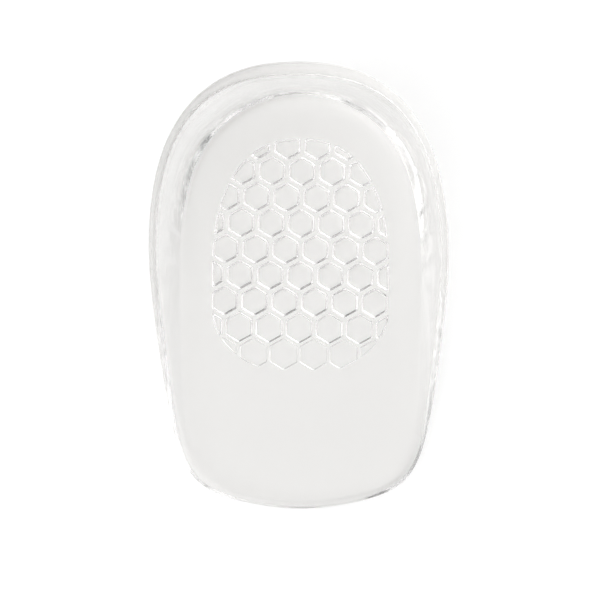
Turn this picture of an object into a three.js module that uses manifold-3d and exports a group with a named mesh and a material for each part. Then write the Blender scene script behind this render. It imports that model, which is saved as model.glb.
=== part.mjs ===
// A one-piece clear gel heel cup: it lies in a shoe, the heel of the foot sits in it.
// Millimetres, +Z up, +Y towards the back of the heel. The origin is at the middle of the
// cup's length and width, on the flat underside.
import * as THREE from "three";
import { mergeVertices } from "three/addons/utils/BufferGeometryUtils.js";
import Module from "manifold-3d";

// Driving dimensions
const CUP_LENGTH = 105; // toe edge to the back of the heel, over the rim
const CUP_WIDTH = 70.4; // over the rim, at its widest
const HEEL_HEIGHT = 24; // rim above the underside, behind the heel
const FLARE = 7; // how far the rim stands out past the underside, where that is most
const RIM_THICKNESS = 3.2; // the wall at its rounded top, behind the heel
const PAD_THICKNESS = 5; // floor under the heel
const TOE_THICKNESS = 1.8; // floor at the toe edge
const TOE_LIP = 1; // rim above the floor, at the toe edge
const WALL_ROOT = 3; // from the edge of the underside in to the flat of the floor
const EDGE_ROUND = 0.6; // round on the edge of the underside

// The honeycomb of pockets in the underside
const HONEYCOMB_HEEL_MARGIN = 11.8; // from the underside's edge to the border, at the heel
const HONEYCOMB_TOE_MARGIN = 30.9;
const HONEYCOMB_SIDE_MARGIN = 8;
const CELL_PITCH = 7.17; // between the middles of two neighbouring pockets
const RIB_WIDTH = 0.9; // between two pockets, at the underside
const POCKET_DEPTH = 0.8;
const POCKET_DRAFT = 0.48; // how much each pocket wall leans in over that depth
const HONEYCOMB_FADE = 20; // from the border's toe end to the first pocket of full depth
const LATTICE_TURN = -1.1; // degrees
const LATTICE_SHIFT = { x: -0.1, y: 3 }; // one pocket's middle

// The rim seen from above, down one side from the heel to the toe edge. across and along are
// shares of the half width and half length, flare of FLARE and rim of RIM_THICKNESS, and rise
// is the share of the way up from the toe edge's rim to the heel's.
const OUTLINE = [
  { across: 0, along: 1, flare: 0.67, rise: 1, rim: 1 },
  { across: 0.345, along: 0.975, flare: 0.88, rise: 0.997, rim: 0.92 },
  { across: 0.64, along: 0.869, flare: 0.98, rise: 0.985, rim: 0.73 },
  { across: 0.844, along: 0.69, flare: 0.92, rise: 0.95, rim: 0.6 },
  { across: 0.955, along: 0.465, flare: 0.85, rise: 0.86, rim: 0.55 },
  { across: 1, along: 0.19, flare: 0.88, rise: 0.64, rim: 0.55 },
  { across: 0.981, along: -0.06, flare: 0.8, rise: 0.42, rim: 0.55 },
  { across: 0.936, along: -0.32, flare: 0.62, rise: 0.22, rim: 0.55 },
  { across: 0.89, along: -0.524, flare: 0.46, rise: 0.11, rim: 0.55 },
  { across: 0.839, along: -0.69, flare: 0.42, rise: 0.05, rim: 0.55 },
  { across: 0.768, along: -0.812, flare: 0.35, rise: 0.015, rim: 0.55 },
  { across: 0.66, along: -0.896, flare: 0.25, rise: 0, rim: 0.55 },
  { across: 0.48, along: -0.951, flare: 0.13, rise: 0, rim: 0.55 },
  { across: 0.25, along: -0.985, flare: 0.11, rise: 0, rim: 0.55 },
  { across: 0, along: -1, flare: 0.14, rise: 0, rim: 0.55 },
];
const COLUMNS = ["across", "along", "flare", "rise", "rim"];

// The floor thins from the pad to the toe edge between these shares of the half length
const FLOOR_RAMP = { toe: -0.93, heel: -0.05 };

// The honeycomb's border: shares of its length, from the heel end
const BORDER = { heelArch: 0.56, toeArch: 0.28, heelPower: 2.35, toePower: 2 };
const LEAST_CELL = 0.12; // pockets that the border leaves smaller than this share are left out
const LEAST_DEPTH = 0.1; // pockets shallower than this share of POCKET_DEPTH are left out
const RIB_GAIN = 0.25; // a rib is as wide as its pocket's share of POCKET_DEPTH plus this

// Fineness of the facets
const STEPS_PER_ROW = 3;
const EDGE_STEPS = 2;
const OUTER_STEPS = 6;
const RIM_STEPS = 4;
const INNER_STEPS = 7;
const FLOOR_RINGS = [0.8, 0.55, 0.25];
const BORDER_STEPS = 60;

const toeHeight = TOE_THICKNESS + TOE_LIP;

// One value of a Catmull-Rom spline through four evenly spaced ones
function spline(a, b, c, d, t) {
  const t2 = t * t;
  const t3 = t2 * t;
  return 0.5 * (2 * b + (c - a) * t + (2 * a - 5 * b + 4 * c - d) * t2 + (3 * b - a - 3 * c + d) * t3);
}

function smoothstep(from, to, value) {
  const t = THREE.MathUtils.clamp((value - from) / (to - from), 0, 1);
  return t * t * (3 - 2 * t);
}

function floorHeight(y) {
  const half = CUP_LENGTH / 2;
  const pad = smoothstep(FLOOR_RAMP.toe * half, FLOOR_RAMP.heel * half, y);
  return TOE_THICKNESS + (PAD_THICKNESS - TOE_THICKNESS) * pad;
}

// The rim's points all the way round, counter-clockwise from above, each with its outward
// direction, its flare, its height and the rim's thickness
function rimStations() {
  const left = OUTLINE.slice(0, -1);
  const right = OUTLINE.slice(1).reverse();
  const rows = [
    ...left.map((row) => ({ ...row, across: -row.across })),
    ...right,
  ];
  const stations = [];
  rows.forEach((_, i) => {
    const near = [-1, 0, 1, 2].map((k) => rows[(i + k + rows.length) % rows.length]);
    for (let s = 0; s < STEPS_PER_ROW; s++) {
      const [across, along, flare, rise, rim] = COLUMNS.map((name) =>
        spline(...near.map((row) => row[name]), s / STEPS_PER_ROW),
      );
      stations.push({
        x: (across * CUP_WIDTH) / 2,
        y: (along * CUP_LENGTH) / 2,
        flare: flare * FLARE,
        height: toeHeight + (HEEL_HEIGHT - toeHeight) * rise,
        rim: rim * RIM_THICKNESS,
      });
    }
  });
  stations.forEach((station, i) => {
    const before = stations[(i - 1 + stations.length) % stations.length];
    const after = stations[(i + 1) % stations.length];
    station.out = new THREE.Vector2(after.y - before.y, before.x - after.x).normalize();
  });
  return stations;
}

// The wall's section at one station, from the underside over the rim to the floor: pairs of
// how far out past the underside's edge, and height
function wallSection({ x, y, out, flare, height, rim }) {
  const crown = Math.min(rim / 2, TOE_LIP);
  const top = height - crown;
  const outer = (q) => [flare * (1 - (1 - q) ** 2), top * q];
  const innerFoot = -WALL_ROOT;
  const innerTop = flare - rim;
  const floor = floorHeight(y - out.y * (flare + WALL_ROOT));
  const roundEnd = Math.min(EDGE_ROUND / top, 1 / OUTER_STEPS);
  const section = [];
  for (let i = 0; i <= EDGE_STEPS; i++) {
    const t = i / EDGE_STEPS;
    const [endOut, endUp] = outer(roundEnd);
    section.push([-EDGE_ROUND * (1 - t) ** 2 + endOut * t * t, endUp * t * t]);
  }
  for (let i = 1; i <= OUTER_STEPS; i++) {
    section.push(outer(roundEnd + ((1 - roundEnd) * i) / OUTER_STEPS));
  }
  for (let i = 1; i <= RIM_STEPS; i++) {
    const angle = (Math.PI * i) / RIM_STEPS;
    section.push([flare - (rim / 2) * (1 - Math.cos(angle)), top + crown * Math.sin(angle)]);
  }
  for (let i = INNER_STEPS - 1; i >= 0; i--) {
    const angle = (Math.PI / 2) * (i / INNER_STEPS);
    section.push([
      innerFoot + (innerTop - innerFoot) * Math.sin(angle),
      floor + (top - floor) * (1 - Math.cos(angle)),
    ]);
  }
  return section.map(([o, z]) => [x + out.x * (o - flare), y + out.y * (o - flare), z]);
}

// A closed surface through rings of points, with a point in the middle at each end
function skin(rings, first, last) {
  const count = rings[0].length;
  const positions = [first, ...rings.flat(), last].flat();
  const index = [];
  const at = (ring, i) => 1 + ring * count + (i % count);
  for (let i = 0; i < count; i++) {
    index.push(0, at(0, i + 1), at(0, i));
    index.push(positions.length / 3 - 1, at(rings.length - 1, i), at(rings.length - 1, i + 1));
    for (let r = 0; r < rings.length - 1; r++) {
      index.push(at(r, i), at(r, i + 1), at(r + 1, i + 1));
      index.push(at(r, i), at(r + 1, i + 1), at(r + 1, i));
    }
  }
  return new THREE.BufferGeometry()
    .setAttribute("position", new THREE.Float32BufferAttribute(positions, 3))
    .setIndex(index);
}

// The cup without its pockets
function blankGeometry(stations) {
  const sections = stations.map(wallSection);
  const rings = sections[0].map((_, r) => sections.map((section) => section[r]));
  const floorEdge = rings[rings.length - 1];
  for (const share of FLOOR_RINGS) {
    rings.push(floorEdge.map(([x, y]) => [x * share, y * share, floorHeight(y * share)]));
  }
  return skin(rings, [0, 0, 0], [0, 0, floorHeight(0)]);
}

// How far the honeycomb goes, inside the underside's edge
function honeycombReach(stations) {
  const edges = stations.map(({ x, y, out, flare }) => [x - out.x * flare, y - out.y * flare]);
  return {
    halfWidth: Math.max(...edges.map(([x]) => x)) - HONEYCOMB_SIDE_MARGIN,
    heelEnd: Math.max(...edges.map(([, y]) => y)) - HONEYCOMB_HEEL_MARGIN,
    toeEnd: Math.min(...edges.map(([, y]) => y)) + HONEYCOMB_TOE_MARGIN,
  };
}

// The honeycomb's border: an arch at each end of a straight stretch
function borderShape({ halfWidth, heelEnd, toeEnd }) {
  const length = heelEnd - toeEnd;
  const points = [];
  for (let i = 0; i < BORDER_STEPS; i++) {
    const angle = (2 * Math.PI * i) / BORDER_STEPS;
    const c = Math.cos(angle);
    const s = Math.sin(angle);
    const power = 2 / (s > 0 ? BORDER.heelPower : BORDER.toePower);
    const arch = length * (s > 0 ? BORDER.heelArch : BORDER.toeArch);
    const start = s > 0 ? heelEnd - arch : toeEnd + arch;
    points.push(
      new THREE.Vector2(
        halfWidth * Math.sign(c) * Math.abs(c) ** power,
        start + arch * Math.sign(s) * Math.abs(s) ** power,
      ),
    );
  }
  return new THREE.Shape(points);
}

// The middles of all pockets that could meet the border
function cellCentres(shape) {
  const box = new THREE.Box2().setFromPoints(shape.getPoints());
  const rowPitch = (CELL_PITCH * Math.sqrt(3)) / 2;
  const reach = Math.ceil(box.getSize(new THREE.Vector2()).length() / rowPitch);
  const turn = THREE.MathUtils.degToRad(LATTICE_TURN);
  const origin = new THREE.Vector2(LATTICE_SHIFT.x, LATTICE_SHIFT.y);
  box.expandByScalar(CELL_PITCH);
  const centres = [];
  for (let row = -reach; row <= reach; row++) {
    for (let column = -reach; column <= reach; column++) {
      const shift = (Math.abs(row) % 2) / 2;
      const centre = new THREE.Vector2((column + shift) * CELL_PITCH, row * rowPitch)
        .rotateAround(new THREE.Vector2(), turn)
        .add(origin);
      if (box.containsPoint(centre)) centres.push(centre);
    }
  }
  return centres;
}

// A pocket's hexagon, as deep below the underside as above it, so that it cuts cleanly. share
// says how much of POCKET_DEPTH the pocket has, and the ribs round a shallow one are narrower.
function hexagonGeometry(centre, share) {
  const depth = POCKET_DEPTH * share;
  const lean = POCKET_DRAFT * share;
  const rib = RIB_WIDTH * Math.min(share + RIB_GAIN, 1);
  const mouth = (CELL_PITCH - rib) / Math.sqrt(3);
  const change = (2 * lean) / Math.sqrt(3);
  return new THREE.CylinderGeometry(mouth - change, mouth + change, 2 * depth, 6)
    .rotateX(Math.PI / 2)
    .rotateZ(THREE.MathUtils.degToRad(LATTICE_TURN))
    .translate(centre.x, centre.y, 0);
}

function borderGeometry(shape) {
  return new THREE.ExtrudeGeometry(shape, {
    depth: 3 * POCKET_DEPTH,
    bevelEnabled: false,
  }).translate(0, 0, -2 * POCKET_DEPTH);
}

const wasm = await Module();
wasm.setup();

function solidOf(geometry) {
  const bare = geometry.clone();
  bare.deleteAttribute("normal");
  bare.deleteAttribute("uv");
  const merged = mergeVertices(bare);
  return new wasm.Manifold(
    new wasm.Mesh({
      numProp: 3,
      vertProperties: new Float32Array(merged.attributes.position.array),
      triVerts: new Uint32Array(merged.index.array),
    }),
  );
}

function geometryOf(solid) {
  const { numProp, vertProperties, triVerts } = solid.getMesh();
  const geometry = new THREE.BufferGeometry()
    .setAttribute("position", new THREE.Float32BufferAttribute(vertProperties, numProp))
    .setIndex(new THREE.BufferAttribute(triVerts, 1));
  geometry.computeVertexNormals();
  return geometry;
}

// The cup, less its pockets, each of them cut to the border. They get shallower towards its
// toe end.
function heelCup() {
  const stations = rimStations();
  const reach = honeycombReach(stations);
  const border = borderShape(reach);
  const borderSolid = solidOf(borderGeometry(border));
  let cup = solidOf(blankGeometry(stations));
  for (const centre of cellCentres(border)) {
    const share = Math.min((centre.y - reach.toeEnd) / HONEYCOMB_FADE, 1);
    if (share < LEAST_DEPTH) continue;
    const whole = solidOf(hexagonGeometry(centre, share));
    const pocket = whole.intersect(borderSolid);
    if (pocket.volume() > LEAST_CELL * whole.volume()) cup = cup.subtract(pocket);
  }
  const gel = new THREE.MeshStandardMaterial({
    color: 0xe9e8e6,
    roughness: 0.12,
    metalness: 0,
    transparent: true,
    opacity: 0.5,
  });
  const mesh = new THREE.Mesh(geometryOf(cup), gel);
  mesh.name = "heel_cup";
  return mesh;
}

const part = new THREE.Group();
part.add(heelCup());

export default part;
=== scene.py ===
# Clear gel heel cup lying on a white table, photographed from above. Metres, +Y towards the
# back of the heel, as in the frame.
import math
import bpy
import numpy as np
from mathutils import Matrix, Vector
from mathutils.geometry import delaunay_2d_cdt


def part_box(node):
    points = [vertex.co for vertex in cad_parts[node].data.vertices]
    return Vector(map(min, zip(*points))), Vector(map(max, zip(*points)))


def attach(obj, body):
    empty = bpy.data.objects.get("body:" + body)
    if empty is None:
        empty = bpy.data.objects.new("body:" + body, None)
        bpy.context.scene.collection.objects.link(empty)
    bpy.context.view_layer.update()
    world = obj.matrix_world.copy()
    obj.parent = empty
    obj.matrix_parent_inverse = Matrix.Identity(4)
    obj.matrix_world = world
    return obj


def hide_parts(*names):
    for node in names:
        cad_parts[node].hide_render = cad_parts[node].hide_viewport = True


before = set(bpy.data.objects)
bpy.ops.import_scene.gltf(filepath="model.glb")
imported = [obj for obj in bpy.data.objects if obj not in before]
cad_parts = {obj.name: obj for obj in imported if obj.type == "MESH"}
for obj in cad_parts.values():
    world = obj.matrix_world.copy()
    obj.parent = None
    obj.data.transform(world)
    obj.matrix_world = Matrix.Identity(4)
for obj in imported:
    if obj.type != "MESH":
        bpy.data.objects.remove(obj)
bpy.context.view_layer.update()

MM = 0.001

# Sizes that the frame gives
low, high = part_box("heel_cup")
HALF_WIDTH = high[0]
HALF_LENGTH = high[1]
HEEL_HEIGHT = high[2]

# Sizes of the cup that its box doesn't give
FLARE = 7 * MM
RIM_THICKNESS = 3.2 * MM
PAD_THICKNESS = 5 * MM
TOE_THICKNESS = 1.8 * MM
TOE_LIP = 1 * MM
WALL_ROOT = 3 * MM
EDGE_ROUND = 0.6 * MM
MOST_ROUND_END = 0.2  # share of the wall's height that its lower round takes up at most
TOE_HEIGHT = TOE_THICKNESS + TOE_LIP

# The rim from the heel to the toe edge down one side, as shares: across the half width, along
# the half length, flare of FLARE, rise from the toe edge's rim to the heel's, and rim of
# RIM_THICKNESS
OUTLINE = np.array([
    (0, 1, 0.67, 1, 1),
    (0.345, 0.975, 0.88, 0.997, 0.92),
    (0.64, 0.869, 0.98, 0.985, 0.73),
    (0.844, 0.69, 0.92, 0.95, 0.6),
    (0.955, 0.465, 0.85, 0.86, 0.55),
    (1, 0.19, 0.88, 0.64, 0.55),
    (0.981, -0.06, 0.8, 0.42, 0.55),
    (0.936, -0.32, 0.62, 0.22, 0.55),
    (0.89, -0.524, 0.46, 0.11, 0.55),
    (0.839, -0.69, 0.42, 0.05, 0.55),
    (0.768, -0.812, 0.35, 0.015, 0.55),
    (0.66, -0.896, 0.25, 0, 0.55),
    (0.48, -0.951, 0.13, 0, 0.55),
    (0.25, -0.985, 0.11, 0, 0.55),
    (0, -1, 0.14, 0, 0.55),
])
FLOOR_RAMP = (-0.93, -0.05)  # the floor thickens between these shares of the half length

# The honeycomb in the underside
HEEL_MARGIN = 11.8 * MM
TOE_MARGIN = 30.9 * MM
SIDE_MARGIN = 8 * MM
CELL_PITCH = 7.17 * MM
CREST = 0.8 * MM  # flat of the rib between two pockets
CREST_ROUND = 0.12 * MM
MOST_CREST_ROUND = 0.55  # share of the pocket's depth
POCKET_DEPTH = 0.8 * MM
POCKET_DRAFT = 0.38 * MM  # how much a pocket's wall leans in over POCKET_DEPTH
CEILING_ROUND = 0.08 * MM
MOST_CEILING_ROUND = 0.35  # share of the pocket's depth
CORNER_ROUND = 0.06 * MM
FLAT_EDGE = 0.12 * MM  # flat strip round each pocket's mouth and along the underside's edge
HONEYCOMB_FADE = 20 * MM  # from the border's toe end to the first pocket of full depth
LEAST_DEPTH = 0.1  # pockets shallower than this share of POCKET_DEPTH are left out
RIB_GAIN = 0.25  # a crest is as wide as its pocket's share of POCKET_DEPTH plus this
LEAST_CELL = 0.12  # pockets that the border leaves smaller than this share are left out
LATTICE_TURN = math.radians(-1.1)
LATTICE_SHIFT = np.array((-0.1, 3)) * MM  # one pocket's middle
BORDER_ARCHES = {"heel": (0.56, 2.35), "toe": (0.28, 2)}  # share of its length, and power

# Fineness of the mesh
STEPS_PER_ROW = 12
SMOOTHING_ROUNDS = 40
EDGE_STEPS = 5
OUTER_STEPS = 22
RIM_STEPS = 14
INNER_STEPS = 24
FLOOR_RINGS = 16
BORDER_STEPS = 120
POCKET_STEPS = 60
CREST_STEPS = 5
CEILING_STEPS = 4
LEAST_RADIUS = 0.02 * MM  # of a pocket's rings
LEAST_FACING = 1e-6  # a side that faces a ray less than this doesn't stop it
SAME_PLACE = 1e-5  # millimetres between corners that the underside's mesh joins

# The gel
GEL_COLOUR = (0.866, 0.862, 0.854, 1)  # what light takes on that goes in and out once
GEL_IOR = 1.42
GEL_ROUGHNESS = (0.02, 0.09)
GLOSS_NOISE = (160, 4)  # scale and detail
RIPPLE_NOISE = (45, 2)
RIPPLE_STRENGTH = 0.12
RIPPLE_HEIGHT = 0.4 * MM

# The table
TABLE_COLOUR = (0.93, 0.93, 0.93, 1)
TABLE_ROUGHNESS = 0.9
TABLE_GAP = 0.15 * MM  # below the cup
TABLE_SIZE = 6

# The light, as brightness by direction, with azimuths in degrees anticlockwise from +X. Two
# wide bright sides face each other along one azimuth, the two sides between them are dark, and
# all of it is stronger towards another azimuth.
LIGHT_OVERHEAD = 1.47
LIGHT_AZIMUTH = 42
LIGHT_ADDED = (0.6, -1.8)  # at the horizon, along that azimuth and across it
STRONG_AZIMUTH = 190
STRONG_ADDED = 0.5  # at the horizon there, and as much less opposite
MOST_BOUNCES = 32  # light crosses the gel many times between its surfaces and the table

# The camera
CAMERA_DISTANCE = 0.8
CAMERA_ASIDE = 0.028
VIEW_CENTRE = (-0.17 * MM, -2.8 * MM)
VIEW_WIDTH = 143.2 * MM  # what the picture's width takes in on the table
SENSOR = 36


def smoothstep(start, end, value):
    t = np.clip((value - start) / (end - start), 0, 1)
    return t * t * (3 - 2 * t)


def floor_height(y):
    pad = smoothstep(FLOOR_RAMP[0] * HALF_LENGTH, FLOOR_RAMP[1] * HALF_LENGTH, y)
    return TOE_THICKNESS + (PAD_THICKNESS - TOE_THICKNESS) * pad


def rim_stations():
    """The rim all the way round, counter-clockwise from above, as a dict of arrays."""
    left = OUTLINE[:-1] * (-1, 1, 1, 1, 1)
    right = OUTLINE[:0:-1]
    rows = np.concatenate((left, right))
    steps = np.arange(STEPS_PER_ROW)[:, None] / STEPS_PER_ROW
    a, b, c, d = (np.roll(rows, shift, axis=0)[:, None, :] for shift in (1, 0, -1, -2))
    t = steps[None]
    curve = 0.5 * (2 * b + (c - a) * t + (2 * a - 5 * b + 4 * c - d) * t**2
                   + (3 * b - a - 3 * c + d) * t**3)
    curve = curve.reshape(-1, rows.shape[1])
    for _ in range(SMOOTHING_ROUNDS):
        curve = (np.roll(curve, 1, axis=0) + 2 * curve + np.roll(curve, -1, axis=0)) / 4
    across = curve[:, 0] / curve[:, 0].max()
    along = curve[:, 1]
    along = 2 * (along - along.min()) / (along.max() - along.min()) - 1
    x = across * HALF_WIDTH
    y = along * HALF_LENGTH
    out = np.stack((np.roll(y, -1) - np.roll(y, 1), np.roll(x, 1) - np.roll(x, -1)), axis=1)
    out /= np.linalg.norm(out, axis=1)[:, None]
    rise = curve[:, 3] / curve[:, 3].max()
    return {
        "point": np.stack((x, y), axis=1),
        "out": out,
        "flare": curve[:, 2] * FLARE,
        "height": TOE_HEIGHT + (HEEL_HEIGHT - TOE_HEIGHT) * rise,
        "rim": curve[:, 4] * RIM_THICKNESS,
    }


def wall_rings(stations):
    """Rings of points from the underside's edge over the rim down to the floor."""
    flare = stations["flare"]
    rim = stations["rim"]
    crown = np.minimum(rim / 2, TOE_LIP)
    top = stations["height"] - crown
    inner_top = flare - rim
    foot = stations["point"] - stations["out"] * (flare + WALL_ROOT)[:, None]
    floor = floor_height(foot[:, 1])

    def outer(q):
        return flare * (1 - (1 - q) ** 2), top * q

    round_end = np.minimum(EDGE_ROUND / top, MOST_ROUND_END)
    end_out, end_up = outer(round_end)
    sections = [(-EDGE_ROUND - FLAT_EDGE, 0 * top)]
    for i in range(EDGE_STEPS + 1):
        t = i / EDGE_STEPS
        sections.append((-EDGE_ROUND * (1 - t) ** 2 + end_out * t * t, end_up * t * t))
    for i in range(1, OUTER_STEPS + 1):
        sections.append(outer(round_end + (1 - round_end) * i / OUTER_STEPS))
    for i in range(1, RIM_STEPS + 1):
        angle = math.pi * i / RIM_STEPS
        sections.append((flare - rim / 2 * (1 - math.cos(angle)), top + crown * math.sin(angle)))
    for i in range(INNER_STEPS - 1, -1, -1):
        angle = math.pi / 2 * i / INNER_STEPS
        sections.append((-WALL_ROOT + (inner_top + WALL_ROOT) * math.sin(angle),
                         floor + (top - floor) * (1 - math.cos(angle))))
    rings = []
    for outward, up in sections:
        place = stations["point"] + stations["out"] * (outward - flare)[:, None]
        rings.append(np.column_stack((place, up)))
    return rings


def floor_rings(edge):
    """Rings from the floor's edge towards its middle."""
    rings = []
    for i in range(1, FLOOR_RINGS):
        place = edge[:, :2] * (1 - i / FLOOR_RINGS)
        rings.append(np.column_stack((place, floor_height(place[:, 1]))))
    return rings


def honeycomb_border(foot):
    """The honeycomb's border as a convex polygon, and its toe end."""
    half_width = foot[:, 0].max() - SIDE_MARGIN
    heel_end = foot[:, 1].max() - HEEL_MARGIN
    toe_end = foot[:, 1].min() + TOE_MARGIN
    length = heel_end - toe_end
    points = []
    for i in range(BORDER_STEPS):
        angle = 2 * math.pi * i / BORDER_STEPS
        share, power = BORDER_ARCHES["heel" if math.sin(angle) > 0 else "toe"]
        arch = length * share
        start = heel_end - arch if math.sin(angle) > 0 else toe_end + arch
        across, along = (math.copysign(abs(v) ** (2 / power), v)
                         for v in (math.cos(angle), math.sin(angle)))
        points.append((half_width * across, start + arch * along))
    return np.array(points), toe_end


def half_planes(polygon):
    """Outward normals and distances of a counter-clockwise polygon's sides."""
    along = np.roll(polygon, -1, axis=0) - polygon
    normals = np.stack((along[:, 1], -along[:, 0]), axis=1)
    normals /= np.linalg.norm(normals, axis=1)[:, None]
    return normals, (normals * polygon).sum(axis=1)


def clipped(polygon, normals, distances):
    """A convex polygon cut by half planes."""
    points = [tuple(p) for p in polygon]
    for normal, distance in zip(normals, distances):
        kept = []
        for p, q in zip(points, points[1:] + points[:1]):
            past_p = normal[0] * p[0] + normal[1] * p[1] - distance
            past_q = normal[0] * q[0] + normal[1] * q[1] - distance
            if past_p <= 0:
                kept.append(p)
            if past_p * past_q < 0:
                t = past_p / (past_p - past_q)
                kept.append((p[0] + t * (q[0] - p[0]), p[1] + t * (q[1] - p[1])))
        points = kept
        if len(points) < 3:
            return np.zeros((0, 2))
    return np.array(points)


def area_and_middle(polygon):
    following = np.roll(polygon, -1, axis=0)
    cross = polygon[:, 0] * following[:, 1] - following[:, 0] * polygon[:, 1]
    area = cross.sum() / 2
    middle = ((polygon + following) * cross[:, None]).sum(axis=0) / (6 * area)
    return area, middle


def pocket_profile(depth):
    """How far in from its mouth, and how high, each ring of a pocket lies."""
    crest = min(CREST_ROUND, MOST_CREST_ROUND * depth)
    ceiling = min(CEILING_ROUND, MOST_CEILING_ROUND * depth)
    draft = POCKET_DRAFT * depth / POCKET_DEPTH
    profile = [(-FLAT_EDGE, 0)]
    for i in range(CREST_STEPS + 1):
        angle = math.pi / 2 * i / CREST_STEPS
        profile.append((crest * math.sin(angle), crest * (1 - math.cos(angle))))
    for i in range(CEILING_STEPS + 1):
        angle = math.pi / 2 * i / CEILING_STEPS
        profile.append((crest + draft + ceiling * (1 - math.cos(angle)),
                        depth - ceiling + ceiling * math.sin(angle)))
    return profile


def pocket_rings(sides, border_sides, middle, depth):
    """Rings from the pocket's mouth to its ceiling, clockwise from above, so that the faces
    between them look into the pocket. The corners are rounded."""
    angles = LATTICE_TURN - 2 * math.pi * np.arange(POCKET_STEPS) / POCKET_STEPS
    ray = np.stack((np.cos(angles), np.sin(angles)), axis=1)

    def reach(planes, inset):
        normals, distances = planes
        facing = ray @ normals.T
        room = distances - normals @ middle - inset
        return np.where(facing > LEAST_FACING, room / np.maximum(facing, LEAST_FACING), np.inf)

    rings = []
    for inset, up in pocket_profile(depth):
        border = reach(border_sides, inset).min(axis=1, keepdims=True)
        both = np.concatenate((reach(sides, inset), border), axis=1)
        nearest = both.min(axis=1, keepdims=True)
        soft = np.exp(-(both - nearest) / CORNER_ROUND).sum(axis=1)
        radius = np.maximum(nearest[:, 0] - CORNER_ROUND * np.log(soft), LEAST_RADIUS)
        place = middle + ray * radius[:, None]
        rings.append(np.column_stack((place, np.full(len(place), up))))
    return rings


def honeycomb_pockets(foot):
    """Each pocket's rings."""
    border, toe_end = honeycomb_border(foot)
    border_sides = half_planes(border)
    turn = np.array(((math.cos(LATTICE_TURN), -math.sin(LATTICE_TURN)),
                     (math.sin(LATTICE_TURN), math.cos(LATTICE_TURN))))
    corner_angles = math.radians(30) + np.radians(60) * np.arange(6)
    corners = np.stack((np.cos(corner_angles), np.sin(corner_angles)), axis=1) @ turn.T
    reach = 1 + math.ceil(2 * HALF_LENGTH / CELL_PITCH)
    pockets = []
    for row in range(-reach, reach + 1):
        for column in range(-reach, reach + 1):
            flat = np.array(((column + row % 2 / 2) * CELL_PITCH,
                             row * CELL_PITCH * math.sqrt(3) / 2))
            centre = turn @ flat + LATTICE_SHIFT
            share = min((centre[1] - toe_end) / HONEYCOMB_FADE, 1)
            if share < LEAST_DEPTH:
                continue
            crest = CREST * min(share + RIB_GAIN, 1)
            hexagon = centre + corners * (CELL_PITCH - crest) / math.sqrt(3)
            cell = clipped(hexagon, *border_sides)
            if len(cell) == 0:
                continue
            area, middle = area_and_middle(cell)
            if area < LEAST_CELL * area_and_middle(hexagon)[0]:
                continue
            sides = half_planes(hexagon)
            pockets.append(pocket_rings(sides, border_sides, middle, POCKET_DEPTH * share))
    return pockets


def inside(points, polygon):
    """Whether each point lies in the polygon."""
    following = np.roll(polygon, -1, axis=0)
    x, y = points[:, :1], points[:, 1:]
    crosses = (polygon[:, 1] > y) != (following[:, 1] > y)
    rise = following[:, 1] - polygon[:, 1]
    rise = np.where(rise == 0, 1, rise)
    at = polygon[:, 0] + (y - polygon[:, 1]) * (following[:, 0] - polygon[:, 0]) / rise
    return (crosses & (x < at)).sum(axis=1) % 2 == 1


class Surface:
    """Points and faces, gathered ring by ring."""

    def __init__(self):
        self.points = []
        self.faces = []

    def add_ring(self, ring):
        first = len(self.points)
        self.points.extend(map(tuple, ring))
        return list(range(first, len(self.points)))

    def bridge(self, lower, upper):
        for i, start in enumerate(lower):
            j = (i + 1) % len(lower)
            self.faces.append((start, lower[j], upper[j], upper[i]))

    def cap(self, ring, middle):
        tip = self.add_ring([middle])[0]
        for i, start in enumerate(ring):
            self.faces.append((start, ring[(i + 1) % len(ring)], tip))

    def fill(self, outer, holes):
        """The flat underside between the outer ring and the pockets' mouths."""
        loops = [outer] + holes
        owner = [k for k, loop in enumerate(loops) for _ in loop]
        index = [i for loop in loops for i in loop]
        flat = [Vector(self.points[i][:2]) / MM for i in index]
        edges = []
        first = 0
        for loop in loops:
            edges += [(first + i, first + (i + 1) % len(loop)) for i in range(len(loop))]
            first += len(loop)
        _, _, faces, sources, _, _ = delaunay_2d_cdt(flat, edges, [], 0, SAME_PLACE)
        outline = np.array([flat[i] for i in range(len(outer))])
        corners = [[sources[i][0] for i in face] for face in faces]
        middles = np.array([sum((flat[i] for i in face), Vector((0, 0))) / 3 for face in corners])
        within = inside(middles, outline)
        for face, keep in zip(corners, within):
            owners = {owner[i] for i in face}
            in_pocket = len(owners) == 1 and 0 not in owners
            if keep and not in_pocket:
                a, b, c = (flat[i] for i in face)
                turn = (b - a).cross(c - a)
                order = face if turn < 0 else face[::-1]
                self.faces.append(tuple(index[i] for i in order))


def heel_cup():
    stations = rim_stations()
    foot = stations["point"] - stations["out"] * stations["flare"][:, None]
    surface = Surface()
    walls = wall_rings(stations)
    rings = [surface.add_ring(ring) for ring in walls + floor_rings(walls[-1])]
    for lower, upper in zip(rings, rings[1:]):
        surface.bridge(lower, upper)
    surface.cap(rings[-1], (0, 0, floor_height(0)))
    mouths = []
    for pocket in honeycomb_pockets(foot):
        levels = [surface.add_ring(ring) for ring in pocket]
        mouths.append(levels[0])
        for lower, upper in zip(levels, levels[1:]):
            surface.bridge(lower, upper)
        middle = pocket[-1].mean(axis=0)
        surface.cap(levels[-1], tuple(middle))
    surface.fill(rings[0], mouths)
    mesh = bpy.data.meshes.new("gel_cup")
    mesh.from_pydata(surface.points, [], surface.faces)
    mesh.validate()
    mesh.shade_smooth()
    piece = bpy.data.objects.new("gel_cup", mesh)
    bpy.context.scene.collection.objects.link(piece)
    piece.modifiers.new("weighted_normals", "WEIGHTED_NORMAL")
    return piece


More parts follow.
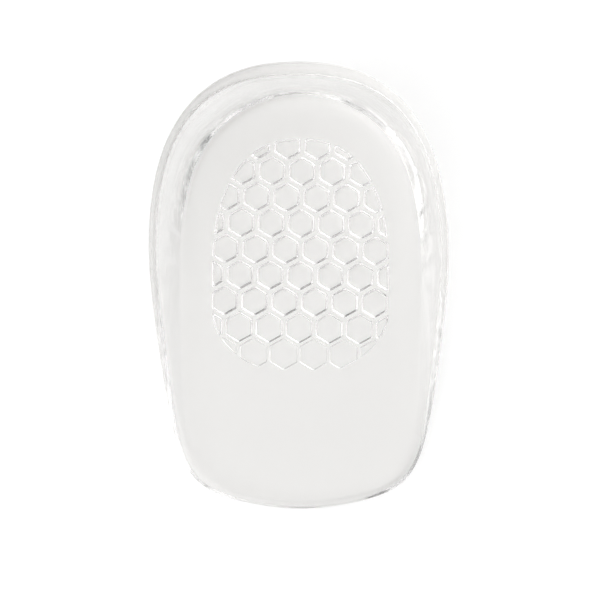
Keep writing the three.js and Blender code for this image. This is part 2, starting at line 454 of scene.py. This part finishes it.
def gel_material():
    material = bpy.data.materials.new("clear_gel")
    material.use_nodes = True
    nodes = material.node_tree.nodes
    links = material.node_tree.links
    shader = nodes["Principled BSDF"]
    shader.inputs["Base Color"].default_value = GEL_COLOUR
    shader.inputs["IOR"].default_value = GEL_IOR
    shader.inputs["Transmission Weight"].default_value = 1
    place = nodes.new("ShaderNodeTexCoord")

    def noise(scale, detail):
        texture = nodes.new("ShaderNodeTexNoise")
        texture.inputs["Scale"].default_value = scale
        texture.inputs["Detail"].default_value = detail
        links.new(place.outputs["Object"], texture.inputs["Vector"])
        return texture.outputs["Fac"]

    gloss = nodes.new("ShaderNodeMapRange")
    gloss.inputs["To Min"].default_value = GEL_ROUGHNESS[0]
    gloss.inputs["To Max"].default_value = GEL_ROUGHNESS[1]
    links.new(noise(*GLOSS_NOISE), gloss.inputs["Value"])
    links.new(gloss.outputs["Result"], shader.inputs["Roughness"])
    bump = nodes.new("ShaderNodeBump")
    bump.inputs["Strength"].default_value = RIPPLE_STRENGTH
    bump.inputs["Distance"].default_value = RIPPLE_HEIGHT
    links.new(noise(*RIPPLE_NOISE), bump.inputs["Height"])
    links.new(bump.outputs["Normal"], shader.inputs["Normal"])
    return material


def table_material():
    material = bpy.data.materials.new("white_table")
    material.use_nodes = True
    shader = material.node_tree.nodes["Principled BSDF"]
    shader.inputs["Base Color"].default_value = TABLE_COLOUR
    shader.inputs["Roughness"].default_value = TABLE_ROUGHNESS
    shader.inputs["Specular IOR Level"].default_value = 0
    return material


def table():
    half = TABLE_SIZE / 2
    corners = [(-half, -half, 0), (half, -half, 0), (half, half, 0), (-half, half, 0)]
    mesh = bpy.data.meshes.new("table")
    mesh.from_pydata(corners, [], [(0, 1, 2, 3)])
    mesh.materials.append(table_material())
    ground = bpy.data.objects.new("table", mesh)
    ground.location.z = low[2] - TABLE_GAP
    bpy.context.scene.collection.objects.link(ground)


def studio():
    world = bpy.data.worlds.new("studio")
    world.use_nodes = True
    bpy.context.scene.world = world
    nodes = world.node_tree.nodes
    links = world.node_tree.links
    toward = nodes.new("ShaderNodeTexCoord")

    def share_along(azimuth):
        a = math.radians(azimuth)
        dot = nodes.new("ShaderNodeVectorMath")
        dot.operation = "DOT_PRODUCT"
        dot.inputs[1].default_value = (math.cos(a), math.sin(a), 0)
        links.new(toward.outputs["Generated"], dot.inputs[0])
        return dot.outputs["Value"]

    level = nodes.new("ShaderNodeMath")
    level.operation = "MULTIPLY_ADD"
    level.inputs[1].default_value = STRONG_ADDED
    level.inputs[2].default_value = LIGHT_OVERHEAD
    links.new(share_along(STRONG_AZIMUTH), level.inputs[0])
    for azimuth, added in zip((LIGHT_AZIMUTH, LIGHT_AZIMUTH + 90), LIGHT_ADDED):
        share = share_along(azimuth)
        square = nodes.new("ShaderNodeMath")
        square.operation = "MULTIPLY"
        links.new(share, square.inputs[0])
        links.new(share, square.inputs[1])
        total = nodes.new("ShaderNodeMath")
        total.operation = "MULTIPLY_ADD"
        total.inputs[1].default_value = added
        links.new(square.outputs["Value"], total.inputs[0])
        links.new(level.outputs["Value"], total.inputs[2])
        level = total
    lit = nodes.new("ShaderNodeMath")
    lit.operation = "MAXIMUM"
    lit.inputs[1].default_value = 0
    links.new(level.outputs["Value"], lit.inputs[0])
    background = nodes["Background"]
    background.inputs["Color"].default_value = (1, 1, 1, 1)
    links.new(lit.outputs["Value"], background.inputs["Strength"])


def light_paths():
    """Lets light pass through the gel and back unblurred, as often as it takes."""
    cycles = bpy.context.scene.cycles
    cycles.blur_glossy = 0
    cycles.max_bounces = MOST_BOUNCES
    cycles.diffuse_bounces = MOST_BOUNCES
    cycles.glossy_bounces = MOST_BOUNCES
    cycles.transmission_bounces = MOST_BOUNCES


def camera():
    data = bpy.data.cameras.new("camera")
    data.sensor_width = SENSOR
    data.lens = SENSOR * CAMERA_DISTANCE / VIEW_WIDTH
    viewer = bpy.data.objects.new("camera", data)
    target = Vector((VIEW_CENTRE[0], VIEW_CENTRE[1], 0))
    viewer.location = target + Vector((CAMERA_ASIDE, 0, CAMERA_DISTANCE))
    viewer.rotation_euler = (0, math.atan2(CAMERA_ASIDE, CAMERA_DISTANCE), 0)
    bpy.context.scene.collection.objects.link(viewer)
    bpy.context.scene.camera = viewer


cup = heel_cup()
cup.data.materials.append(gel_material())
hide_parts("heel_cup")
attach(cup, "root")
table()
studio()
light_paths()
camera()
bpy.context.scene.view_settings.view_transform = "Standard"
